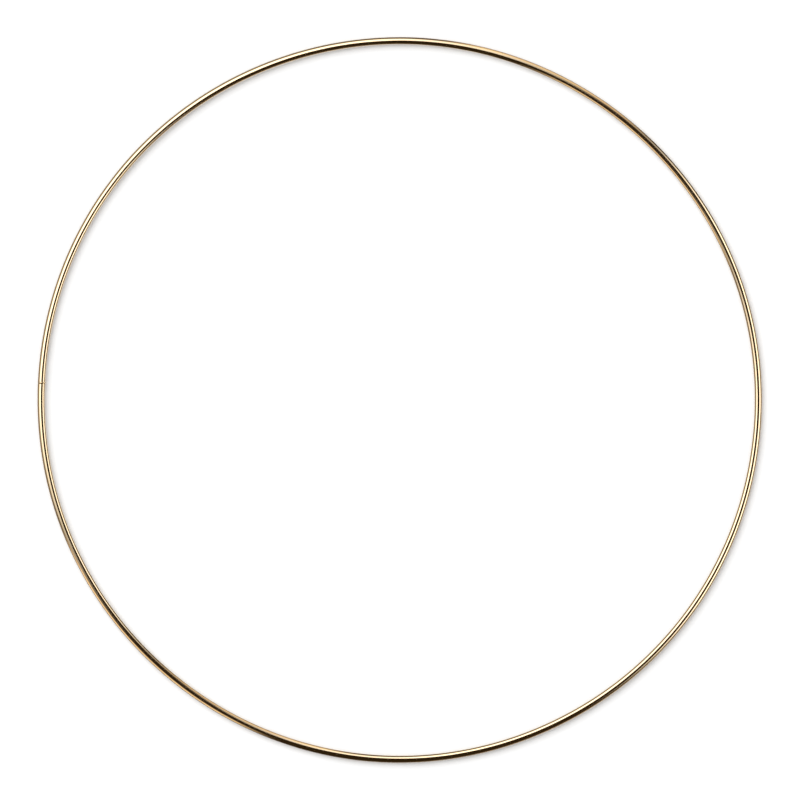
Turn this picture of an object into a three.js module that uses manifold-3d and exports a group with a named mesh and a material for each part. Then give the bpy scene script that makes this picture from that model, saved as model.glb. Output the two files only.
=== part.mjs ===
// A wreath frame: one brass-plated steel wire, bent into a ring and butt-welded shut.
//
// Millimetres, +Z up. The ring lies flat on z = 0, its centre is on the Z axis, and its weld is
// on the -X side. It comes apart into two solids: the wire, and the weld between its cut ends.

import * as THREE from "three";
import { mergeVertices } from "three/addons/utils/BufferGeometryUtils.js";
import Module from "manifold-3d";

// The ring
const RING_OUTSIDE = 300; // outside diameter
const WIRE = 3; // diameter of the wire, with its plating
const WIRE_R = WIRE / 2;
const BEND_R = RING_OUTSIDE / 2 - WIRE_R; // radius of the bend, at the wire's centreline

// The weld
const WELD_ANGLE = Math.PI; // where it is on the ring, from +X towards +Y
const WELD_LENGTH = 0.9; // along the wire
const WELD_GAP = 0.3; // kept between the weld and each cut end of the wire
const NECK_DEPTH = 0.12; // how far its middle is drawn in below the wire's surface
const BURR_LENGTH = 0.8; // flash left standing on the inner side of the ring, along the wire
const BURR_HEIGHT = 0.6; // its width, up the wire's side
const BURR_REACH = 0.2; // how far it stands out of the wire

// Facets. A multiple of 4 round the wire gives it a flat below, above, inside and outside.
const WIRE_SIDES = 16;
const RING_SIDES = 180;
const HALF_FACET = Math.PI / RING_SIDES; // turns the ring until a flat faces each axis
const WELD_SIDES = 24;
const NECK_STEPS = 8;
const BURR_SIDES = 12;

const PLATING = { color: 0xd9bd86, roughness: 0.2, metalness: 1 };

const wasm = await Module();
wasm.setup();

/** A closed geometry as a solid that can be cut and joined. */
function toSolid(geometry) {
  geometry.deleteAttribute("normal");
  geometry.deleteAttribute("uv");
  const merged = mergeVertices(geometry);
  return new wasm.Manifold(
    new wasm.Mesh({
      numProp: 3,
      vertProperties: merged.attributes.position.array,
      triVerts: new Uint32Array(merged.index.array),
    }),
  );
}

/** A solid as a named mesh, in the plated metal that every piece shows. */
function platedMesh(name, solid) {
  const { vertProperties, triVerts } = solid.getMesh();
  const geometry = new THREE.BufferGeometry();
  geometry.setAttribute("position", new THREE.BufferAttribute(vertProperties, 3));
  geometry.setIndex(new THREE.BufferAttribute(triVerts, 1));
  geometry.computeVertexNormals();
  const mesh = new THREE.Mesh(geometry, new THREE.MeshStandardMaterial(PLATING));
  mesh.name = name;
  return mesh;
}

/** The wire's section, out at the bend's radius: a polygon whose flats touch the round wire. */
function wireSection() {
  const corner = WIRE_R / Math.cos(Math.PI / WIRE_SIDES);
  const points = [];
  for (let i = 0; i <= WIRE_SIDES; i++) {
    const turn = ((i + 0.5) * 2 * Math.PI) / WIRE_SIDES;
    const radius = (BEND_R + corner * Math.cos(turn)) / Math.cos(HALF_FACET);
    points.push(new THREE.Vector2(radius, WIRE_R + corner * Math.sin(turn)));
  }
  return points;
}

/** The wire: a whole turn of the section, less the length that the weld takes. */
function ringWire() {
  const turned = new THREE.LatheGeometry(wireSection(), RING_SIDES, HALF_FACET);
  turned.rotateX(Math.PI / 2); // a lathe turns about Y, and this ring's axis is Z
  const gap = new THREE.BoxGeometry(2 * WIRE, WELD_LENGTH + 2 * WELD_GAP, 2 * WIRE);
  gap.translate(BEND_R, 0, WIRE_R);
  gap.rotateZ(WELD_ANGLE);
  return platedMesh("ring_wire", toSolid(turned).subtract(toSolid(gap)));
}

/** The weld's outline along the wire: flat ends of the wire's own radius, and a neck between. */
function weldOutline() {
  const points = [new THREE.Vector2(0, -WELD_LENGTH / 2)];
  for (let i = 0; i <= NECK_STEPS; i++) {
    const share = i / NECK_STEPS;
    const radius = WIRE_R - NECK_DEPTH * Math.sin(Math.PI * share) ** 2;
    points.push(new THREE.Vector2(radius, (share - 0.5) * WELD_LENGTH));
  }
  points.push(new THREE.Vector2(0, WELD_LENGTH / 2));
  return points;
}

/** The weld, made about its own centre: X leads out of the ring, Y along the wire, Z up. */
function buttWeld() {
  const neck = new THREE.LatheGeometry(weldOutline(), WELD_SIDES);
  const burr = new THREE.SphereGeometry(1, BURR_SIDES, BURR_SIDES / 2);
  burr.scale(2 * BURR_REACH, BURR_LENGTH / 2, BURR_HEIGHT / 2);
  burr.translate(BURR_REACH - WIRE_R, 0, 0);
  const mesh = platedMesh("butt_weld", toSolid(neck).add(toSolid(burr)));
  mesh.position.set(BEND_R * Math.cos(WELD_ANGLE), BEND_R * Math.sin(WELD_ANGLE), WIRE_R);
  mesh.rotation.z = WELD_ANGLE;
  return mesh;
}

const wreathFrame = new THREE.Group();
wreathFrame.add(ringWire(), buttWeld());

export default wreathFrame;
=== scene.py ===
"""The looks of the wreath frame: a ring of bright, brass-plated wire with one butt weld.

Metres, +Z up. The ring lies flat on z = 0 round the Z axis, and its weld is on the -X side.
"""

import math

import bmesh
import bpy
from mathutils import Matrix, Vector, noise


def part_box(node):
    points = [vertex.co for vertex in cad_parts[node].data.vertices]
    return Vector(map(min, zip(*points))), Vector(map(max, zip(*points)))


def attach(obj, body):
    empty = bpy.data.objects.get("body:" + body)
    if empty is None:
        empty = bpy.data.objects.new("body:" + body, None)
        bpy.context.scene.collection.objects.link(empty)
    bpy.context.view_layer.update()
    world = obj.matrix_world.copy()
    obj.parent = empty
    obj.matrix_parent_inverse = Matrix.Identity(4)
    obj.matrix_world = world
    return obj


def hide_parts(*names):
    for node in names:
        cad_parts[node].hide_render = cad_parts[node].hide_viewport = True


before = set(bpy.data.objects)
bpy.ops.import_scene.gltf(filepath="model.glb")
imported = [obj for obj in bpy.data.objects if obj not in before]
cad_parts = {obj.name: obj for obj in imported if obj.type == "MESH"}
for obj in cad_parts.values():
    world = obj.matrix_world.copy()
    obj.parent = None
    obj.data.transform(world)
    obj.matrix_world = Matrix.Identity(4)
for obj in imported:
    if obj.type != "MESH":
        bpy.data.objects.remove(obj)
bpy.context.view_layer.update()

MM = 0.001

# The frame's own sizes
RING_LOW, RING_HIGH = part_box("ring_wire")
WELD_LOW, WELD_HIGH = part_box("butt_weld")
WIRE_R = (RING_HIGH.z - RING_LOW.z) / 2
BEND_R = RING_HIGH.x - WIRE_R
WELD_LENGTH = WELD_HIGH.y - WELD_LOW.y
WELD_ANGLE = math.pi

# The wire's mesh, and how the wire is bent
WIRE_STEPS = 2000
WIRE_SIDES = 40
# The ring is slightly out of round, with faint flats. The amounts were set starting from
# what a fit to the photograph's outline showed
OVAL = 0.15 * MM
OVAL_ANGLE = math.radians(120)
LOBES = 0.05 * MM
LOBE_COUNT = 3
LOBE_ANGLE = math.radians(30)
FLATS = 0.07 * MM
FLAT_COUNT = 6
FLAT_ANGLE = math.radians(25)
KINKS = 9.0  # how closely the smallest bends follow each other
KINK = 0.02 * MM
RIM = 0.02 * MM  # rounding of the wire's ends and of the weld's, where they meet
RIM_STEPS = 6

# The weld. Places are along the wire from the weld's middle, and turns are as in ring_point
WELD_STEPS = 60
WELD_SIDES = 96
GROOVE_DEPTH = 0.2 * MM
GROOVE_PLACE = 0.16 * MM
GROOVE_WIDTH = 0.12 * MM
GROOVE_TURN = math.radians(80)
LIP_HEIGHT = 0.06 * MM
LIP_PLACE = -0.2 * MM
LIP_WIDTH = 0.2 * MM
LIP_TURN = math.radians(110)
LIP_SPREAD = 0.8
BURR_REACH = 0.4 * MM
BURR_PLACE = -0.14 * MM
BURR_WIDTH = 0.32 * MM
BURR_TURN = math.radians(170)
BURR_SPREAD = 0.55
# Painted shade on the weld: a dark colour laid on the groove's upward face. How strong it is, how
# wide, and which way it faces
PAINTED_SHADE_AMOUNT = 1.6
PAINTED_SHADE_WIDTH = 0.2 * MM
PAINTED_SHADE_TURN = math.radians(88)
PAINTED_SHADE_SPREAD = 0.45
UNEVEN = 0.01 * MM  # how rough the weld's surface is
END_FADE = 0.06 * MM  # over which the weld meets the wire's own radius

# The camera looks straight down from above the middle of the ring
LENS = 400
SENSOR = 36
FRAME_HALF_WIDTH = 0.1655  # what it sees to each side, at the height of the wire's middle
CAMERA_TURN = math.radians(2.7)
CAMERA_PLACE = (0.15 * MM, -0.05 * MM)
CAMERA_REACH = 20

# The plating's colours, and the size of its marks, as noise cells per metre across and along
BRASS = (0.80, 0.64, 0.40, 1)
DULL_BRASS = (0.77, 0.61, 0.40, 1)
STAIN = (0.42, 0.27, 0.13, 1)
# the dark colour painted in the weld's groove as its shade
GROOVE_PAINTED_SHADE = (0.07, 0.045, 0.02, 1)
CLOUDS = (120, 45)
SPECKS = (2200, 900)
DRAWING_LINES = (9000, 60)
GRAIN = (6000, 3000)
CLOUD_EDGES = (0.35, 0.65)
STAIN_EDGES = (0.66, 0.74)
STAIN_SHARE = 0.7
# Its roughness, from the smoothest drawing lines to the coarsest, and what its marks add
WIRE_ROUGHNESS = (0.06, 0.14)
WELD_ROUGHNESS = (0.12, 0.24)
GRAIN_ROUGHNESS = 0.04
STAIN_ROUGHNESS = 0.15
# where the groove's shade is painted, the plating is also rougher
PAINTED_SHADE_ROUGHNESS = 0.4
# Its relief. The grain is a share of the drawing lines' depth
WIRE_GRAIN = 0.3
WELD_GRAIN = 1.3
BUMP_STRENGTH = 0.6
BUMP_HEIGHT = 0.012 * MM

# The table. It lies just below the ring, and glows a little to reach the photograph's white
TABLE_HALF_WIDTH = 6.0
TABLE_DROP = 0.02 * MM
TABLE_COLOUR = (0.65, 0.65, 0.65, 1)
TABLE_ROUGHNESS = 0.9
TABLE_GLOW = 0.06

# The light that brightens the table
KEY_STRENGTH = 3.1
KEY_SPREAD = math.radians(60)
KEY_TILT = math.radians(48)  # from straight up
KEY_AZIMUTH = math.radians(135) + CAMERA_TURN


# ---------------------------------------------------------------- node helpers


class Nodes:
    """A node tree that is being built: each call adds one node and returns one of its outputs."""

    def __init__(self, tree):
        self.tree = tree
        tree.nodes.clear()

    def add(self, kind, *values, out=0, named=None, **settings):
        """values go to the inputs in order, and named to inputs by name. None leaves one alone."""
        node = self.tree.nodes.new("ShaderNode" + kind)
        for key, value in settings.items():
            setattr(node, key, value)
        for key, value in [*enumerate(values), *(named or {}).items()]:
            if isinstance(value, bpy.types.NodeSocket):
                self.tree.links.new(value, node.inputs[key])
            elif value is not None:
                node.inputs[key].default_value = value
        return node.outputs[out] if node.outputs else None

    def math(self, operation, *values):
        return self.add("Math", *values, operation=operation)

    def eased(self, value, low, high, to_low=0.0, to_high=1.0):
        """value eased from low..high to to_low..to_high, and held outside them."""
        node = self.add("MapRange", value, low, high, to_low, to_high)
        node.node.interpolation_type = "SMOOTHSTEP"
        return node

    def mix(self, share, a, b):
        """A colour between a and b."""
        node = self.tree.nodes.new("ShaderNodeMix")
        node.data_type = "RGBA"
        for key, value in (("Factor_Float", share), ("A_Color", a), ("B_Color", b)):
            socket = next(s for s in node.inputs if s.identifier == key)
            if isinstance(value, bpy.types.NodeSocket):
                self.tree.links.new(value, socket)
            else:
                socket.default_value = value
        return next(s for s in node.outputs if s.identifier == "Result_Color")

    def noise(self, place, scale, detail=2.0, roughness=0.5):
        named = {"Vector": place, "Scale": scale, "Detail": detail, "Roughness": roughness}
        return self.add("TexNoise", named=named)


# ---------------------------------------------------------------- the wire and the weld


def centreline(angle):
    """Distance from the ring's axis, and height, of the wire's middle."""
    radius = BEND_R + OVAL * math.cos(2 * (angle - OVAL_ANGLE))
    radius += LOBES * math.cos(LOBE_COUNT * (angle - LOBE_ANGLE))
    radius += FLATS * math.cos(FLAT_COUNT * (angle - FLAT_ANGLE))
    kink = noise.noise(Vector((math.cos(angle), math.sin(angle), 0.5)) * KINKS)
    return radius + KINK * kink, WIRE_R


def ring_point(angle, turn, section_r):
    """A point on a section: turn 0 leads out of the ring, and a quarter turn leads up."""
    radius, height = centreline(angle)
    out = radius + section_r * math.cos(turn)
    return Vector((out * math.cos(angle), out * math.sin(angle), height + section_r * math.sin(turn)))


def tube(name, rows, sides, section_r, scale):
    """A closed tube along the ring. rows are (distance along the wire, shrink) from end to end."""
    points = []
    drawn = []
    scaled = []
    for along, shrink in rows:
        angle = WELD_ANGLE + along / BEND_R
        for k in range(sides):
            turn = 2 * math.pi * k / sides
            r = section_r(along, turn) - shrink
            points.append(ring_point(angle, turn, r))
            drawn.append((WIRE_R * math.cos(turn), WIRE_R * math.sin(turn), along))
            # how much painted shade each point of the weld's groove gets
            scaled.append(scale(along, turn))
    faces = []
    for i in range(len(rows) - 1):
        for k in range(sides):
            a = i * sides + k
            b = i * sides + (k + 1) % sides
            faces.append((a, a + sides, b + sides, b))
    faces.append(tuple(range(sides)))
    last = (len(rows) - 1) * sides
    faces.append(tuple(reversed(range(last, last + sides))))
    mesh = bpy.data.meshes.new(name)
    mesh.from_pydata(points, [], faces)
    place = mesh.attributes.new("drawn", "FLOAT_VECTOR", "POINT")
    place.data.foreach_set("vector", [c for p in drawn for c in p])
    # the "scale" attribute carries the painted shade of the weld's groove
    mesh.attributes.new("scale", "FLOAT", "POINT").data.foreach_set("value", scaled)
    mesh.polygons.foreach_set("use_smooth", [True] * (len(faces) - 2) + [False] * 2)
    mesh.update()
    piece = bpy.data.objects.new(name, mesh)
    bpy.context.scene.collection.objects.link(piece)
    return piece


def along_rows(start, end, steps):
    """Even rows from start to end, with the rim of each end rounded off."""
    rows = []
    for i in range(RIM_STEPS):
        turn = math.pi / 2 * i / RIM_STEPS
        rows.append((start + RIM * (1 - math.cos(turn)), RIM * (1 - math.sin(turn))))
    for i in range(steps + 1):
        rows.append((start + RIM + (end - start - 2 * RIM) * i / steps, 0.0))
    for i in reversed(range(RIM_STEPS)):
        turn = math.pi / 2 * i / RIM_STEPS
        rows.append((end - RIM * (1 - math.cos(turn)), RIM * (1 - math.sin(turn))))
    return rows


def wire_radius(along, turn):
    """The wire is evenly round."""
    return WIRE_R


def wire_painted_shade(along, turn):
    """No painted groove shade on the wire, which has no groove."""
    return 0.0


def bell(value, middle, width):
    """1 at middle, fading to 0 on both sides of it."""
    return math.exp(-(((value - middle) / width) ** 2))


def facing(turn, middle, spread):
    """1 where the wire's surface is turned to middle, fading to 0 round it."""
    return bell(math.remainder(turn - middle, 2 * math.pi), 0, spread)


def weld_radius(along, turn):
    """The weld's surface: a groove, a lip beside it, and a burr on the ring's inner side."""
    rough = noise.noise(Vector((along / MM * 3, math.cos(turn) * 2, math.sin(turn) * 2 + 5)))
    groove = GROOVE_DEPTH * bell(along, GROOVE_PLACE, GROOVE_WIDTH)
    groove *= 0.5 + 0.5 * math.cos(turn - GROOVE_TURN)
    lip = LIP_HEIGHT * bell(along, LIP_PLACE, LIP_WIDTH) * facing(turn, LIP_TURN, LIP_SPREAD)
    burr = BURR_REACH * bell(along, BURR_PLACE, BURR_WIDTH) * facing(turn, BURR_TURN, BURR_SPREAD)
    ends = 1 - bell(abs(along), WELD_LENGTH / 2, END_FADE)
    return WIRE_R + (lip + burr - groove + UNEVEN * rough) * ends


def weld_painted_shade(along, turn):
    """How much painted shade darkens the weld groove's upward face, from 0 to 1."""
    left = PAINTED_SHADE_AMOUNT * bell(along, GROOVE_PLACE, PAINTED_SHADE_WIDTH)
    return min(1.0, left * facing(turn, PAINTED_SHADE_TURN, PAINTED_SHADE_SPREAD))


def make_wire():
    length = 2 * math.pi * BEND_R
    rows = along_rows(WELD_LENGTH / 2, length - WELD_LENGTH / 2, WIRE_STEPS)
    wire = tube("plated_ring", rows, WIRE_SIDES, wire_radius, wire_painted_shade)
    wire.data.materials.append(plating("plated_wire", WIRE_ROUGHNESS, WIRE_GRAIN))
    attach(wire, "root")
    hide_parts("ring_wire")


def make_weld():
    rows = along_rows(-WELD_LENGTH / 2, WELD_LENGTH / 2, WELD_STEPS)
    weld = tube("weld_seam", rows, WELD_SIDES, weld_radius, weld_painted_shade)
    weld.data.materials.append(plating("plated_weld", WELD_ROUGHNESS, WELD_GRAIN))
    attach(weld, "root")
    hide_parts("butt_weld")


# ---------------------------------------------------------------- materials


def plating(name, roughness, grain_depth):
    """Bright brass plating over drawn wire. It is rougher on the weld."""
    material = bpy.data.materials.new(name)
    material.use_nodes = True
    n = Nodes(material.node_tree)
    place = n.add("Attribute", attribute_name="drawn", out=1)

    def marks(cells, detail, fineness=0.5):
        across, along = cells
        scaled = n.add("Mapping", place, None, None, (across, across, along))
        return n.noise(scaled, 1.0, detail, fineness)

    # cloudy patches about two centimetres long, where the plating is slightly darker
    colour = n.mix(n.eased(marks(CLOUDS, 3.0), *CLOUD_EDGES), BRASS, DULL_BRASS)
    # sparse specks where the plating is stained
    stain = n.eased(marks(SPECKS, 3.0, 0.6), *STAIN_EDGES)
    colour = n.mix(n.math("MULTIPLY", stain, STAIN_SHARE), colour, STAIN)
    # painted shade: a dark colour laid on the weld groove's upward face, carried by the "scale"
    # attribute
    scale = n.add("Attribute", attribute_name="scale", out=2)
    colour = n.mix(scale, colour, GROOVE_PAINTED_SHADE)
    # the die's drawing lines run along the wire, over a fine grain
    lines = marks(DRAWING_LINES, 3.0, 0.6)
    grain = marks(GRAIN, 2.0)
    rough = n.eased(lines, 0.3, 0.7, *roughness)
    rough = n.math("ADD", rough, n.eased(grain, 0.4, 0.7, 0.0, GRAIN_ROUGHNESS))
    rough = n.math("MULTIPLY_ADD", stain, STAIN_ROUGHNESS, rough)
    # the painted groove shade is rougher too
    rough = n.math("MULTIPLY_ADD", scale, PAINTED_SHADE_ROUGHNESS, rough)
    height = n.math("ADD", lines, n.math("MULTIPLY", grain, grain_depth))
    bump = n.add("Bump", BUMP_STRENGTH, BUMP_HEIGHT, named={"Height": height})
    shader = n.add(
        "BsdfPrincipled",
        named={"Base Color": colour, "Metallic": 1.0, "Roughness": rough, "Normal": bump},
    )
    n.add("OutputMaterial", shader)
    return material


def floor_material():
    material = bpy.data.materials.new("table")
    material.use_nodes = True
    n = Nodes(material.node_tree)
    glow = {"Emission Color": (1, 1, 1, 1), "Emission Strength": TABLE_GLOW}
    shader = n.add("BsdfPrincipled", TABLE_COLOUR, 0.0, TABLE_ROUGHNESS, named=glow)
    n.add("OutputMaterial", shader)
    return material


# ---------------------------------------------------------------- floor, lights, camera


def make_floor():
    half = TABLE_HALF_WIDTH
    mesh = bpy.data.meshes.new("table")
    corners = [(-half, -half, 0), (half, -half, 0), (half, half, 0), (-half, half, 0)]
    mesh.from_pydata(corners, [], [(0, 1, 2, 3)])
    table = bpy.data.objects.new("table", mesh)
    bpy.context.scene.collection.objects.link(table)
    table.location.z = -TABLE_DROP
    table.data.materials.append(floor_material())
    table.visible_glossy = False


# What stands round the wire, in degrees: (azimuth, half its width, softness of its sides),
# (angle of its near edge from straight up, softness), (of its far edge, softness), brightness.
# The values were set starting from what a fit to the photograph's reflections showed
SOFTBOXES = (
    ("upper left", (135, 60, 25), (17, 5), (65, 25), 2.4),
    ("upper left, its middle", (135, 30, 20), (15, 5), (60, 25), 0.4),
    ("right", (0, 40, 15), (45, 5), (80, 5), 2.2),
    ("lamp, lower right", (320, 10, 10), (55, 10), (65, 5), 1.2),
    ("white paper below", (0, 200, 10), (145, 5), (200, 5), 1.2),
)
WALLS = (
    ("lower left", (225, 20, 5), (65, 20), (110, 5), 1.2),
    ("upper right", (65, 15, 5), (55, 20), (115, 10), 0.9),
    ("left", (150, 55, 30), (90, 10), (130, 20), 0.4),
    ("lower right", (330, 55, 30), (100, 10), (140, 10), 0.45),
)
STUDIO_R = 0.95
SOFTBOX = (1.0, 0.99, 1.0, 1)
WALL = (1.0, 0.82, 0.63, 1)
ROOM = (0.03, 0.019, 0.008, 1)
BACKGROUND = (1.0, 1.0, 1.0, 1)


def edge(place, soft):
    """Where an edge's fade begins and ends, in radians."""
    return math.radians(place - soft), math.radians(place + soft)


def studio_material():
    """The glow of the studio's walls, by the direction from the middle of the ring."""
    material = bpy.data.materials.new("studio")
    material.use_nodes = True
    material.cycles.emission_sampling = "NONE"
    n = Nodes(material.node_tree)
    toward = n.add("VectorMath", n.add("TexCoord", out=3), operation="NORMALIZE")
    x, y, z = n.add("SeparateXYZ", toward).node.outputs
    azimuth = n.math("ARCTAN2", y, x)
    down = n.math("ARCCOSINE", z)

    def glow(patches):
        total = 0.0
        for _name, (middle, half, side_soft), near, far, bright in patches:
            turned = n.math("SUBTRACT", azimuth, math.radians(middle) + CAMERA_TURN)
            turned = n.math("ABSOLUTE", n.math("WRAP", turned, math.pi, -math.pi))
            patch = n.eased(turned, *edge(half, side_soft), 1.0, 0.0)
            patch = n.math("MULTIPLY", patch, n.eased(down, *edge(*near)))
            patch = n.math("MULTIPLY", patch, n.eased(down, *edge(*far), 1.0, 0.0))
            total = n.math("MULTIPLY_ADD", patch, bright, total)
        return total

    lit = n.add("AddShader", n.add("Emission", SOFTBOX, glow(SOFTBOXES)), n.add("Emission", ROOM))
    n.add("OutputMaterial", n.add("AddShader", lit, n.add("Emission", WALL, glow(WALLS))))
    return material


def make_studio():
    """The room that the wire mirrors: a globe round the table, which only reflections see."""
    mesh = bpy.data.meshes.new("studio")
    shape = bmesh.new()
    bmesh.ops.create_icosphere(shape, subdivisions=5, radius=STUDIO_R)
    shape.to_mesh(mesh)
    shape.free()
    mesh.materials.append(studio_material())
    studio = bpy.data.objects.new("studio", mesh)
    studio.visible_camera = False
    studio.visible_diffuse = False
    studio.visible_shadow = False
    bpy.context.scene.collection.objects.link(studio)


def make_world():
    """The white light that fills the room."""
    world = bpy.data.worlds.new("white")
    world.use_nodes = True
    n = Nodes(world.node_tree)
    n.add("OutputWorld", n.add("Background", BACKGROUND))
    bpy.context.scene.world = world


def make_key():
    """The broad light that brightens the table and gives the wire its short, soft shadow."""
    light = bpy.data.lights.new("key", "SUN")
    light.energy = KEY_STRENGTH
    light.angle = KEY_SPREAD
    lamp = bpy.data.objects.new("key", light)
    level = math.sin(KEY_TILT)
    away = Vector((level * math.cos(KEY_AZIMUTH), level * math.sin(KEY_AZIMUTH), math.cos(KEY_TILT)))
    lamp.rotation_mode = "QUATERNION"
    lamp.rotation_quaternion = away.to_track_quat("Z", "Y")
    lamp.visible_glossy = False
    bpy.context.scene.collection.objects.link(lamp)


def make_camera():
    data = bpy.data.cameras.new("above")
    data.lens = LENS
    data.sensor_width = SENSOR
    camera = bpy.data.objects.new("above", data)
    distance = FRAME_HALF_WIDTH / (SENSOR / 2 / LENS)
    camera.location = (*CAMERA_PLACE, WIRE_R + distance)
    camera.rotation_euler = (0, 0, CAMERA_TURN)
    data.clip_end = CAMERA_REACH
    bpy.context.scene.collection.objects.link(camera)
    bpy.context.scene.camera = camera
    bpy.context.scene.view_settings.view_transform = "Standard"


make_camera()
make_wire()
make_weld()
make_floor()
make_studio()
make_world()
make_key()
